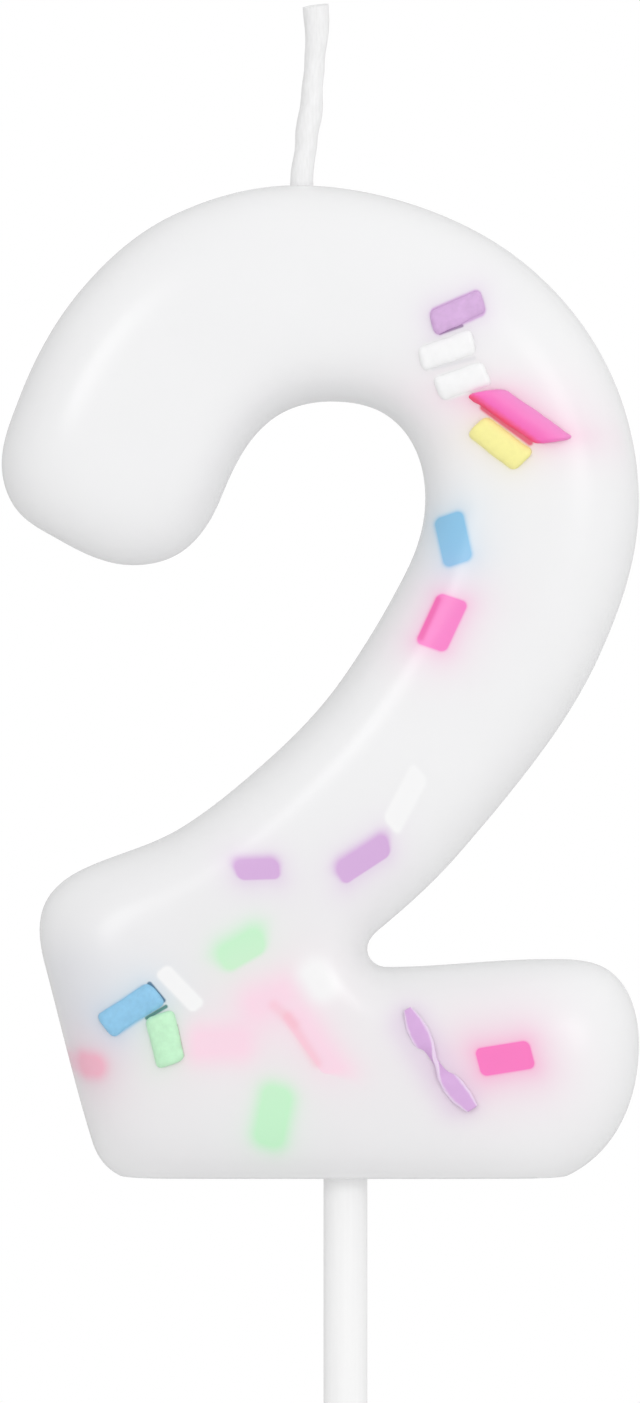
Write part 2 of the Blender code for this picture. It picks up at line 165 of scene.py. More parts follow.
# Sprinkles
ROD_SIDES = 28
ROD_STEPS = 18  # rings between the rounded ends
ROD_ROUNDING = 0.42
ROUNDING_STEPS = 6
ROD_GRAIN = ((0.03, 0.35), (0.075, 1.6))  # height and wavelength of the two scales of unevenness
ROD_SWELL = 1.03  # the fine rods fill their pockets a little more than the CAD rods do, and a few more still
SWELLS = {
    "sprinkle_white_crown_upper": 1.1,
    "sprinkle_white_crown_lower": 1.1,
    "sprinkle_yellow_shoulder": 1.1,
    "sprinkle_green_foot_left": 1.15,
    "sliver_hot_pink_shoulder": 1.07,
}
SURFACE_COVER = 0.09  # a sprinkle with less wax than this over it breaks the surface
PROUD = 0.14  # how far such a sprinkle stands out of the wax, where the next table has no other height
# A sprinkle below zero here lies just under the surface and shows only as a tint in the wax.
HEIGHTS = {
    "sprinkle_white_crown_upper": 0.16,
    "sprinkle_white_crown_lower": 0.16,
    "sliver_hot_pink_shoulder": 0.5,
    "sprinkle_lilac_crown": 0.24,
    "sprinkle_yellow_shoulder": 0.36,
    "sprinkle_green_foot_left": 0.4,
    "sprinkle_blue_foot": 0.2,
    "sprinkle_blue_bowl": -0.45,
    "sprinkle_pink_bowl": -0.14,
    "sprinkle_hot_pink_foot_right": -0.14,
}
# Moves along X and Z against the CAD solids
NUDGES = {
    "sprinkle_blue_bowl": (-0.26, 0.0),
    "sprinkle_green_foot_left": (0.0, 0.22),
    "sprinkle_yellow_shoulder": (0.05, 0.08),
    "sprinkle_green_foot_upper": (0.12, -0.3),
    "sprinkle_lilac_neck_left": (0.0, 0.12),
    "sprinkle_lilac_neck_right": (-0.08, 0.1),
    "sliver_pale_pink_foot": (-0.05, -0.25),
    "sprinkle_white_crown_lower": (-0.05, 0.08),
    "sprinkle_white_crown_upper": (0.0, -0.1),
}
SLIVER_RIDGE = 0.13  # how much higher than its sides the hot pink sliver's middle is, over its thickness

# Twisted strip
TWIST_WIDTHS = (0.6, 1.3, 1.5, 1.25, 0.55, 1.25, 1.5, 1.4, 0.9)  # at even steps from tip to tip
TWIST_THICKNESS = 0.4
TWIST_TURNING = 0.55  # share of the length over which it turns
TWIST_BOW = 0.35  # how far its middle bows to the left
TWIST_PROUD = 0.16
TWIST_BEAD = 0.45  # how much thicker its edges are, over its thickness
TWIST_STEPS = 90

# How single sprinkles show through the wax, where that differs from what their depth gives, in millimetres
# and degrees. Soft is how soft the edge is, and roll how much softer it is towards the upper side. Shrink is
# how much smaller the tint is on each side. Core and glow are strengths, and spread is the reach of the glow,
# which is painted light: the sprinkle's colour scattered through the wax around it.
# Turn and skew change how it lies, and a facing tint lies square to the front instead of to the surface.
TINT_LOOKS = {
    "sprinkle_lilac_crown": {"glow": 0.3, "spread": 0.9},
    "sprinkle_lilac_neck_right": {"soft": 0.34, "roll": 0.3, "shrink": 0.26, "glow": 0.5, "spread": 0.8},
    "sprinkle_lilac_neck_left": {
        "soft": 0.3, "roll": 0.25, "shrink": 0.26, "glow": 0.5, "spread": 0.8, "skew": -0.2,
    },
    "sliver_hot_pink_shoulder": {"shrink": 0.3, "glow": 0.45, "spread": 1.4},
    "sprinkle_blue_bowl": {"soft": 0.24, "shrink": 0.12, "glow": 0.36, "facing": True},
    "sprinkle_pink_bowl": {"soft": 0.16, "shrink": 0.04, "glow": 0.45},
    "sprinkle_hot_pink_foot_right": {"soft": 0.15, "shrink": 0.12, "glow": 0.55, "spread": 1.4, "turn": 1.0},
    "sprinkle_blue_foot": {"shrink": 0.25, "glow": 0.34},
    "sprinkle_white_neck": {"soft": 0.22, "shrink": 0.1, "core": 1.0, "turn": -8.0},
    "sprinkle_white_foot": {"soft": 0.15, "shrink": 0.23, "core": 1.0},
    "sprinkle_green_foot_upper": {"soft": 0.7, "roll": 0.4, "shrink": 0.58, "core": 0.95, "glow": 0.3},
    "sprinkle_green_foot_lower": {"soft": 0.9, "shrink": 0.56, "core": 0.95, "glow": 0.3},
    "sprinkle_pale_pink_foot_left": {"soft": 1.1, "core": 0.54, "glow": 0.42, "spread": 1.4},
    "sprinkle_pale_pink_foot_deep": {"soft": 1.3, "core": 0.45, "glow": 0.5, "spread": 1.8},
    "sliver_pale_pink_foot": {
        "soft": 0.35, "roll": 0.8, "core": 0.55, "glow": 0.45, "spread": 1.4, "skew": 0.35,
    },
    "sprinkle_coral_foot_edge": {
        "soft": 0.7, "shrink": 0.6, "core": 0.66, "glow": 0.5, "spread": 1.5, "turn": 15.0,
    },
    "sprinkle_white_foot_deep": {"soft": 0.9, "shrink": 0.5, "core": 0.85, "turn": -25.0},
}
TINT_ROUNDING = 0.3  # of the corners
TINT_SHARPEST = 0.07  # least softness of an edge
TINT_ROLL_REACH = 1.0  # distance above the middle at which the roll is full
TINT_FADE = 1.2  # depth over which a tint fades below the face that it is near

# Strokes of colour in the front wax: x, z, length, width, tilt in degrees, edge softness, strength and linear
# colour. The first table lies behind the sprinkles: its first two strokes are painted shade that darkens the
# foot and its left edge, with a faint cast of the sprinkles deep in the wax, its third is a painted glow of
# lilac around the twisted strip, and its last strengthens the coral sprinkle. The second table lies over
# them: painted shadows in the narrow gaps beside sprinkles, and painted shade as darker lines on three of them.
HAZES_AND_SHADE = [
    (-8.0, 9.0, 24.0, 12.0, 0, 9.0, 0.22, (0.70, 0.68, 0.70)),
    (-18.6, 11.5, 6.0, 2.0, -75, 2.6, 0.25, (0.60, 0.63, 0.70)),
    (6.1, 8.4, 7.0, 1.0, -57, 1.2, 0.34, (0.70, 0.50, 0.75)),
    (-18.9, 8.1, 2.0, 0.4, -8, 0.7, 0.5, (1.0, 0.40, 0.58)),
]
SHADES = [
    (-3.05, 9.95, 3.9, 0.1, -58, 0.36, 0.32, (0.95, 0.42, 0.52)),
    (-4.3, 11.7, 2.0, 0.1, -42, 0.36, 0.26, (0.95, 0.42, 0.52)),
    (5.85, 39.3, 3.0, 0.1, 66, 0.2, 0.5, (0.85, 0.08, 0.36)),
    (7.33, 59.42, 1.7, 0.1, 19, 0.07, 0.75, (0.25, 0.12, 0.30)),
    (11.2, 52.76, 4.3, 0.24, -36.5, 0.12, 0.85, (0.80, 0.05, 0.14)),
    (-13.2, 13.25, 1.7, 0.22, -50, 0.07, 0.9, (0.04, 0.16, 0.28)),
    (-13.2, 11.85, 1.7, 0.14, 31, 0.07, 0.9, (0.04, 0.22, 0.20)),
    (-11.55, 9.9, 2.2, 0.03, -78, 0.07, 0.55, (0.22, 0.18, 0.10)),
    (7.5, 57.08, 3.0, 0.06, 14, 0.14, 0.4, (0.70, 0.70, 0.73)),
]

# Colours, linear
WAX = (0.905, 0.905, 0.912)
SPRINKLE_COLOURS = {
    "lilac": (0.70, 0.45, 0.75),
    "white": (0.95, 0.95, 0.955),
    "hot_pink": (1.0, 0.21, 0.56),
    "pink": (1.0, 0.25, 0.62),
    "pale_pink": (1.0, 0.71, 0.82),
    "coral": (0.93, 0.50, 0.62),
    "yellow": (0.98, 0.91, 0.36),
    "blue": (0.29, 0.60, 0.85),
    "green": (0.58, 0.92, 0.63),
}
MOTTLE = {"white": 0.3, "yellow": 0.45}  # how mottled a colour is, against the others
# Stops of colour ramps: place and colour
# The sliver's stops are painted shade and light: deep red on its lower edge, paler on its upper facet.
SLIVER_PAINTED_SHADING = ((0.06, (0.98, 0.09, 0.22)), (0.24, (1.0, 0.16, 0.54)), (0.9, (0.92, 0.28, 0.63)))
TWIST_TONES = ((0.72, (0.70, 0.43, 0.75)), (1.0, (0.84, 0.68, 0.87)))
WICK_TONES = ((0.3, (0.85, 0.85, 0.85)), (0.75, (0.92, 0.92, 0.925)))
STICK_TONES = ((0.3, (0.94, 0.94, 0.94)), (0.7, (0.965, 0.965, 0.965)))
FLOOR_TONES = ((0.3, (0.86, 0.86, 0.86)), (0.7, (0.88, 0.88, 0.88)))

# Strength of the painted glow around each colour: the sprinkle's colour, scattered as light through the wax
GLOW = {
    "lilac": 0.2,
    "white": 0.0,
    "hot_pink": 0.38,
    "pink": 0.38,
    "pale_pink": 0.45,
    "coral": 0.35,
    "yellow": 0.2,
    "blue": 0.24,
    "green": 0.24,
}

# Camera and stage, in metres
CAMERA_LENS = 150.0  # in millimetres, as is the sensor
CAMERA_SENSOR = 36.0
VIEW_HEIGHT = 0.0993
VIEW_CENTRE = (-0.0018, 0.0335)
FLOOR_RADIUS = 0.16
FLOOR_THICKNESS = 0.004
FLOOR_CHAMFER = 0.0005
FLOOR_SIDES = 96
SOFTBOX_DISTANCE = 0.6
AMBIENT = 0.76
AMBIENT_LEAN = (0.11, -0.14, 0.08)  # how much brighter the surround is towards +X, +Y and +Z


def bezier_points(start, end, count):
    """Points from one outline knot towards the next, on a curve that keeps both headings."""
    first, last = np.array(start[:2]), np.array(end[:2])
    chord = last - first
    chord_heading = math.degrees(math.atan2(chord[1], chord[0]))
    bend = [abs((heading - chord_heading + 180) % 360 - 180) for heading in (start[2], end[2])]
    reach = np.linalg.norm(chord) / (3 * math.cos(math.radians(sum(bend) / 4)) ** 2)
    out, back = [np.array([math.cos(math.radians(h)), math.sin(math.radians(h))]) for h in (start[2], end[2])]
    t = np.arange(count)[:, None] / count
    handles = (first + reach * out, last - reach * back)
    return ((1 - t) ** 3 * first + 3 * t * (1 - t) ** 2 * handles[0]
            + 3 * t**2 * (1 - t) * handles[1] + t**3 * last)


def outline_points(spacing):
    """Points evenly spaced along the numeral's outline, counterclockwise."""
    knots = OUTLINE_KNOTS
    dense = np.concatenate([bezier_points(a, b, 60) for a, b in zip(knots, knots[1:] + knots[:1])])
    loop = np.vstack([dense, dense[:1]])[::-1]
    travelled = np.concatenate([[0], np.cumsum(np.linalg.norm(np.diff(loop, axis=0), axis=1))])
    stops = np.linspace(0, travelled[-1], round(travelled[-1] / spacing), endpoint=False)
    return np.stack([np.interp(stops, travelled, loop[:, axis]) for axis in (0, 1)], axis=1)


def rim_distance(points, rim):
    """Distance from each point to the closed outline."""
    step = np.roll(rim, -1, axis=0) - rim
    found = []
    for batch in np.array_split(points, len(points) // 1500 + 1):
        offset = batch[:, None] - rim[None]
        along = np.clip((offset * step).sum(-1) / (step**2).sum(-1), 0, 1)
        found.append(np.linalg.norm(offset - along[..., None] * step, axis=-1).min(axis=1))
    return np.concatenate(found)


def inside(points, rim):
    """Whether each point is inside the closed outline."""
    ahead = np.roll(rim, -1, axis=0)
    x, z = points[:, :1], points[:, 1:]
    spans = (rim[:, 1] > z) != (ahead[:, 1] > z)
    slope = (ahead[:, 0] - rim[:, 0]) / np.where(ahead[:, 1] == rim[:, 1], 1, ahead[:, 1] - rim[:, 1])
    return (spans & (x < rim[:, 0] + slope * (z - rim[:, 1]))).sum(axis=1) % 2 == 1


def face_points(rim):
    """Mesh points inside the outline: rings near the rim, then a hexagonal grid."""
    tangent = np.roll(rim, -1, axis=0) - np.roll(rim, 1, axis=0)
    tangent /= np.linalg.norm(tangent, axis=1)[:, None]
    inward = np.stack([-tangent[:, 1], tangent[:, 0]], axis=1)
    kept = []
    for depth in RING_DEPTHS:
        ring = rim + depth * inward
        kept.append(ring[rim_distance(ring, rim) > 0.93 * depth])
    low, high = rim.min(axis=0), rim.max(axis=0)
    rows = np.arange(low[1], high[1], FACE_SPACING * math.sqrt(0.75))
    columns = np.arange(low[0], high[0], FACE_SPACING)
    grid = np.array([(x + (row % 2) * FACE_SPACING / 2, z) for row, z in enumerate(rows) for x in columns])
    grid = grid[inside(grid, rim)]
    kept.append(grid[rim_distance(grid, rim) > RING_DEPTHS[-1] + 0.6 * FACE_SPACING])
    return np.concatenate(kept)


def face_rise(points, triangles, rim_count):
    """Height of the face over each point, from zero on the rim.

    The share u of the full rise solves u - EDGE_ROUNDING**2 * laplacian(u) = 1 with u = 0 on the rim. That is
    a smooth puffed form with no ridge where opposite edges are equally near. Linear elements and conjugate
    gradients solve it.
    """
    corners = points[triangles]
    opposite = np.roll(corners, -1, axis=1) - np.roll(corners, -2, axis=1)
    area = 0.5 * np.abs(opposite[:, 0, 0] * opposite[:, 1, 1] - opposite[:, 0, 1] * opposite[:, 1, 0])
    stiffness = np.einsum("tik,tjk->tij", opposite, opposite) / (4 * area)[:, None, None]
    count = len(points)
    spread = triangles.ravel()
    mass = np.bincount(spread, np.repeat(area / 3, 3), minlength=count)
    own = np.einsum("tii->ti", stiffness).ravel()
    diagonal = EDGE_ROUNDING**2 * np.bincount(spread, own, minlength=count) + mass
    free = np.arange(count) >= rim_count

    def balance(u):
        pull = np.einsum("tij,tj->ti", stiffness, u[triangles])
        total = EDGE_ROUNDING**2 * np.bincount(spread, pull.ravel(), minlength=count) + mass * u
        return np.where(free, total, 0)

    u = np.zeros(count)
    residual = np.where(free, mass, 0)
    direction = residual / diagonal
    power = residual @ direction
    target = 1e-12 * power
    while power > target:
        pushed = balance(direction)
        step = power / (direction @ pushed)
        u += step * direction
        residual -= step * pushed
        eased = residual / diagonal
        power, before = residual @ eased, power
        direction = eased + power / before * direction
    return FACE_HEIGHT * np.sqrt(1 - (1 - np.clip(u, 0, 1)) ** 2)


def new_object(name, points, faces, material):
    """Smooth-shaded object of points in metres."""
    mesh = bpy.data.meshes.new(name)
    mesh.from_pydata([tuple(point) for point in points], [], faces)
    mesh.validate()
    body = bmesh.new()
    body.from_mesh(mesh)
    bmesh.ops.recalc_face_normals(body, faces=body.faces)
    body.to_mesh(mesh)
    body.free()
    mesh.shade_smooth()
    mesh.materials.append(material)
    obj = bpy.data.objects.new(name, mesh)
    bpy.context.scene.collection.objects.link(obj)
    return obj


def roughen(obj, height, length):
    """Pushes each point along its normal by smooth noise of that height and wavelength, in millimetres."""
    vertices = obj.data.vertices
    moves = [vertex.normal * height * noise.noise(vertex.co / MM / length) * MM for vertex in vertices]
    for vertex, move in zip(vertices, moves):
        vertex.co += move


def stand_for(piece, node):
    """Puts a piece on the candle's one body, in place of a CAD node, which it hides."""
    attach(piece, "root")
    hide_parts(node)


def circle(radius, z, sides):
    """Points of a level ring about the Z axis."""
    turns = [2 * math.pi * side / sides for side in range(sides)]
    return [(radius * math.cos(turn), radius * math.sin(turn), z) for turn in turns]


def loft(rings):
    """Points and faces of a skin over rings of equal count, with a fan cap on each end."""
    count = len(rings[0])
    points = [point for ring in rings for point in ring]
    faces = []
    for row in range(len(rings) - 1):
        for i in range(count):
            j = (i + 1) % count
            faces.append((row * count + i, row * count + j, (row + 1) * count + j, (row + 1) * count + i))
    for row in (0, len(rings) - 1):
        hub = len(points)
        points.append(sum((Vector(point) for point in rings[row]), Vector()) / count)
        faces += [(row * count + i, row * count + (i + 1) % count, hub) for i in range(count)]
    return points, faces


# Wax numeral


def wax_form():
    """Points in millimetres and triangles of the numeral: two puffed faces that share the rim."""
    rim = outline_points(RIM_SPACING)
    flat = np.concatenate([rim, face_points(rim)])
    edges = [(i, (i + 1) % len(rim)) for i in range(len(rim))]
    vectors = [Vector((float(x), float(z))) for x, z in flat]
    placed, _, triangles, *_ = delaunay_2d_cdt(vectors, edges, [], 1, 1e-5)
    placed = np.array([tuple(point) for point in placed])
    triangles = np.array(triangles)
    rise = face_rise(placed, triangles, len(rim))
    front = np.stack([placed[:, 0], -rise, placed[:, 1]], axis=1)
    back = (front * (1, -1, 1))[len(rim):]
    shift = len(placed) - len(rim)
    behind = np.where(triangles < len(rim), triangles, triangles + shift)[:, ::-1]
    return np.concatenate([front, back]), np.concatenate([triangles, behind])


def wax_numeral(points, triangles, material):
    """The whole numeral with its slow waviness, sliced flat at z = 0."""
    numeral = new_object("wax_numeral", points * MM, triangles.tolist(), material)
    roughen(numeral, WAVE_HEIGHT, WAVE_LENGTH)
    body = bmesh.new()
    body.from_mesh(numeral.data)
    everything = [*body.verts, *body.edges, *body.faces]
    underside = {"plane_co": (0, 0, 0), "plane_no": (0, 0, 1)}
    bmesh.ops.bisect_plane(body, geom=everything, dist=1e-8, clear_inner=True, **underside)
    filled = bmesh.ops.holes_fill(body, edges=[edge for edge in body.edges if edge.is_boundary], sides=0)
    bmesh.ops.triangulate(body, faces=filled["faces"])
    bmesh.ops.recalc_face_normals(body, faces=body.faces)
    body.to_mesh(numeral.data)
    body.free()
    numeral.data.shade_smooth()
    numeral.data.set_sharp_from_angle(angle=math.radians(50))
    stand_for(numeral, "wax_number_two")


# Sprinkles


def rod_frame(node, skin):
    """Centre, axes, size, end skew and cover of wax of a chopped rod, read from its CAD solid.

    The rod's straight edges are the ones that most edges run parallel to. The axis out of the face comes from
    the wax nearest to the rod.
    """
    mesh = frame["nodes"][node].data
    points = np.array([vertex.co for vertex in mesh.vertices])
    points = points[np.unique(np.round(points, 6), axis=0, return_index=True)[1]]
    ends = np.array([[mesh.vertices[i].co for i in edge.vertices] for edge in mesh.edges])
    lines = ends[:, 1] - ends[:, 0]
    lengths = np.linalg.norm(lines, axis=1)
    units = (lines / lengths[:, None])[lengths > 0.5 * lengths.max()]
    run = Vector(units[(np.abs(units @ units.T) > 0.99999).sum(axis=1).argmax()])
    run *= math.copysign(1, run.x)
    centre = Vector(points.mean(axis=0))
    face, normal, *_ = skin.find_nearest(centre)
    out = (normal - normal.dot(run) * run).normalized()
    span = out.cross(run)
    across, up, along = [(points - np.array(centre)) @ np.array(axis) for axis in (span, out, run)]
    far = along > 0
    skew = float(np.polyfit(across[far], along[far], 1)[0])
    straight = along - skew * across
    size = Vector((np.ptp(straight), np.ptp(across), np.ptp(up)))
    return {"centre": centre, "run": run, "span": span, "out": out, "size": size, "skew": skew,
            "cover": (face - centre).length - size.z / 2}


def proud(node, spot):
    """Where a sprinkle lies: one that breaks the surface stands a little out of it."""
    if spot["cover"] > SURFACE_COVER * MM:
        return spot["centre"]
    return spot["centre"] + spot["out"] * (spot["cover"] + HEIGHTS.get(node, PROUD) * MM)


def squared(share, power):
    """Sine or cosine drawn towards the corners of a square."""
    return math.copysign(abs(share) ** power, share)


def rod_places(length, rounding):
    """Stations along a rod with rounded ends: place along it and how far the section draws in."""
    start = []
    for step in range(ROUNDING_STEPS + 1):
        turn = math.pi / 2 * step / ROUNDING_STEPS
        start.append((rounding * (1 - math.cos(turn)) - length / 2, rounding * (1 - math.sin(turn))))
    straight = length / 2 - rounding
    middle = [(float(place), 0.0) for place in np.linspace(-straight, straight, ROD_STEPS + 2)[1:-1]]
    return start + middle + [(-place, draw) for place, draw in reversed(start)]


def chopped_rod(node, spot, material, ridge=0.0):
    """Rod with a rounded-square section, rounded and skewed ends and a slightly grainy skin."""
    length, width, height = spot["size"] * SWELLS.get(node, ROD_SWELL)
    centre = proud(node, spot)
    rings = []
    for place, draw in rod_places(length, ROD_ROUNDING * MM):
        ring = []
        for side in range(ROD_SIDES):
            turn = 2 * math.pi * side / ROD_SIDES
            across = squared(math.cos(turn), 0.7) * (width / 2 - draw)
            up = squared(math.sin(turn), 0.7) * (height / 2 - draw)
            up -= ridge * height * abs(math.cos(turn)) * (up > 0)
            along = place + spot["skew"] * across
            ring.append(centre + spot["run"] * along + spot["span"] * across + spot["out"] * up)
        rings.append(ring)
    rod = new_object(node + "_rod", *loft(rings), material)
    for grain_height, grain_length in ROD_GRAIN:
        roughen(rod, grain_height, grain_length)
    stand_for(rod, node)


def twisted_strip(node, skin, material):
    """Flat ribbon, slightly bowed, that turns half round at its pinched middle.

    The attribute edge is 1 along its two edges and 0 along the middle of its faces.
    """
    points = np.array([vertex.co for vertex in frame["nodes"][node].data.vertices])
    centre = points.mean(axis=0)
    run = Vector(np.linalg.svd(points - centre)[2][0])
    run *= math.copysign(1, run.x)
    length = np.ptp((points - centre) @ np.array(run))
    face, normal, *_ = skin.find_nearest(Vector(centre))
    out = (normal - normal.dot(run) * run).normalized()
    span = out.cross(run)
    start = face - out * (TWIST_THICKNESS / 2 - TWIST_PROUD) * MM
    rings, edges = [], []
    for step in range(TWIST_STEPS + 1):
        share = step / TWIST_STEPS
        turned_by = min(1, max(0, (share - 0.5) / TWIST_TURNING + 0.5))
        turn = math.pi * turned_by**2 * (3 - 2 * turned_by)
        flat = span * math.cos(turn) + out * math.sin(turn)
        thick = out * math.cos(turn) - span * math.sin(turn)
        width = float(np.interp(share * (len(TWIST_WIDTHS) - 1), range(len(TWIST_WIDTHS)), TWIST_WIDTHS))
        bow = TWIST_BOW * (4 * share * (1 - share) - 0.5)
        middle = start + run * length * (share - 0.5) - span * bow * MM
        ring = []
        for side in range(ROD_SIDES):
            angle = 2 * math.pi * side / ROD_SIDES
            across = squared(math.cos(angle), 0.8) * width / 2 * MM
            bead = 1 + TWIST_BEAD * abs(math.cos(angle)) ** 4
            up = squared(math.sin(angle), 0.8) * TWIST_THICKNESS / 2 * bead * MM
            ring.append(middle + flat * across + thick * up)
            edges.append(abs(math.cos(angle)))
        rings.append(ring)
    strip = new_object(node + "_strip", *loft(rings), material)
    marks = strip.data.attributes.new("edge", "FLOAT", "POINT")
    marks.data.foreach_set("value", edges + [0.0] * (len(strip.data.vertices) - len(edges)))
    roughen(strip, 0.05, 0.8)
    stand_for(strip, node)


# Wick and stick


def smooth_line(stations, count):
    """Evenly counted points on a smooth curve through (x, z, radius) stations."""
    stations = np.array(stations)
    padded = np.vstack([2 * stations[0] - stations[1], stations, 2 * stations[-1] - stations[-2]])
    places = np.linspace(0, len(stations) - 1, count)
    line = []
    for place in places:
        i = min(int(place), len(stations) - 2)
        t = place - i
        a, b, c, d = padded[i:i + 4]
        line.append(0.5 * (2 * b + (c - a) * t + (2 * a - 5 * b + 4 * c - d) * t**2
                           + (3 * b - a - 3 * c + d) * t**3))
    return line


def wick(material):
    """Plied cotton under a coat of wax, with a slanting cut end that is slightly hollow."""
    low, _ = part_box("wick")
    x, _, radius = WICK_LINE[0]
    bottom = low.z / MM
    heights = np.linspace(0, WICK_HIDDEN_TOP - bottom, WICK_HIDDEN_STATIONS)
    line = smooth_line([*((x, bottom + height, radius) for height in heights), *WICK_LINE], WICK_STEPS)
    top = line[-1][1]
    rings = []
    for x, z, radius in line:
        lean = max(0, 1 - (top - z) / WICK_CUT)
        ring = []
        for side in range(WICK_SIDES):
            turn = 2 * math.pi * side / WICK_SIDES
            ply = math.cos(WICK_PLIES * (turn - 2 * math.pi * z / WICK_TWIST))
            reach = radius * (1 + WICK_RELIEF * ply)
            slant = lean * (WICK_SLANT[0] * math.cos(turn) + WICK_SLANT[1] * math.sin(turn)) * radius
            ring.append(Vector((x + reach * math.cos(turn), reach * math.sin(turn), z + slant)) * MM)
        rings.append(ring)
    cut = rings[-1]
    middle = sum(cut, Vector()) / WICK_SIDES
    for scale, sink in WICK_HOLLOW:
        rings.append([middle + (point - middle) * scale - Vector((0, 0, sink * MM)) for point in cut])
    cord = new_object("wick_waxed_cord", *loft(rings), material)
    roughen(cord, 0.04, 1.1)
    stand_for(cord, "wick")


def cake_stick(material):
    """Smooth moulded pin: a blunt tip, a cone, a straight shank and a rounded top end inside the wax."""
    low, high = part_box("cake_stick")
    radius = (high.x - low.x) / 2
    tip = STICK_TIP_RADIUS * MM
    cone = STICK_TIP_LENGTH * MM
    rounding = STICK_ROUNDING * MM
    stations = [(tip * 0.55, low.z), (tip * 0.9, low.z + 0.08 * MM), (tip * 1.05, low.z + 0.22 * MM)]
    stations += [(tip + (radius - tip) * share, low.z + cone * share) for share in np.linspace(0.08, 0.94, 8)]
    stations += [(radius - 0.015 * MM, low.z + cone * 0.985), (radius, low.z + cone * 1.04)]
    stations += [(radius, z) for z in np.linspace(low.z + cone * 1.1, high.z - rounding - 0.1 * MM, 20)]
    for turn in np.linspace(0, math.pi / 2, ROUNDING_STEPS):
        stations.append((radius - rounding * (1 - math.cos(turn)), high.z - rounding * (1 - math.sin(turn))))
    rings = [circle(reach, z, STICK_SIDES) for reach, z in stations]
    stick = new_object("cake_stick_moulded", *loft(rings), material)
    stand_for(stick, "cake_stick")


# Materials


def add(tree, kind, inputs=None, **settings):
    """Node whose inputs are set to values or linked to sockets. Returns its first output."""
    node = tree.nodes.new(kind)
    for name, value in settings.items():
        setattr(node, name, value)
    for key, value in (inputs or {}).items():
        if isinstance(value, bpy.types.NodeSocket):
            tree.links.new(value, node.inputs[key])
        else:
            node.inputs[key].default_value = value
    return node.outputs[0]


def calc(tree, operation, *values):
    return add(tree, "ShaderNodeMath", dict(enumerate(values)), operation=operation)


def vector_calc(tree, operation, *values):
    return add(tree, "ShaderNodeVectorMath", dict(enumerate(values)), operation=operation)


def add_output(tree, kind, inputs, output, **settings):
    """Like add, but returns the named output."""
    return add(tree, kind, inputs, **settings).node.outputs[output]


def dot(tree, first, second):
    inputs = {0: first, 1: second}
    return add_output(tree, "ShaderNodeVectorMath", inputs, "Value", operation="DOT_PRODUCT")


def principled(name, roughness, subsurface=0.0, depth=0.0, specular=0.5):
    """Material with a Principled shader, whose uniform values are on its sockets. Depth is in millimetres."""
    material = bpy.data.materials.new(name)
    material.use_nodes = True
    shader = material.node_tree.nodes["Principled BSDF"]
    shader.inputs["Roughness"].default_value = roughness
    shader.inputs["Subsurface Weight"].default_value = subsurface
    shader.inputs["Subsurface Radius"].default_value = (1.0, 1.0, 1.0)
    shader.inputs["Subsurface Scale"].default_value = depth * MM
    shader.inputs["IOR"].default_value = 1.44
    shader.inputs["Specular IOR Level"].default_value = specular
    return material, material.node_tree, shader


def bump(tree, shader, height, strength, distance):
    normal = add(tree, "ShaderNodeBump", {"Height": height, "Strength": strength, "Distance": distance * MM})
    tree.links.new(normal, shader.inputs["Normal"])


def object_position(tree):
    return add_output(tree, "ShaderNodeTexCoord", {}, "Object")


def grain(tree, position, length, detail=2.0):
    """Noise with features of that length, in millimetres."""
    return add(tree, "ShaderNodeTexNoise", {"Vector": position, "Scale": 1 / (length * MM), "Detail": detail})


def ramp(tree, value, *stops):
    """Colour from a value, by two or three stops of a place and a linear colour."""
    shade = add(tree, "ShaderNodeValToRGB", {"Fac": value})
    elements = shade.node.color_ramp.elements
    for _ in stops[2:]:
        elements.new(0.5)
    for element, (place, colour) in zip(elements, stops):
        element.position = place
        element.color = (*colour, 1)
    return shade


def paint(tree, shader, colour, texture, smooth, rough):
    """Links a colour, and a roughness that a texture varies between its smoothest and its roughest."""
    tree.links.new(colour, shader.inputs["Base Color"])
    roughness = add(tree, "ShaderNodeMapRange", {"Value": texture, "To Min": smooth, "To Max": rough})
    tree.links.new(roughness, shader.inputs["Roughness"])


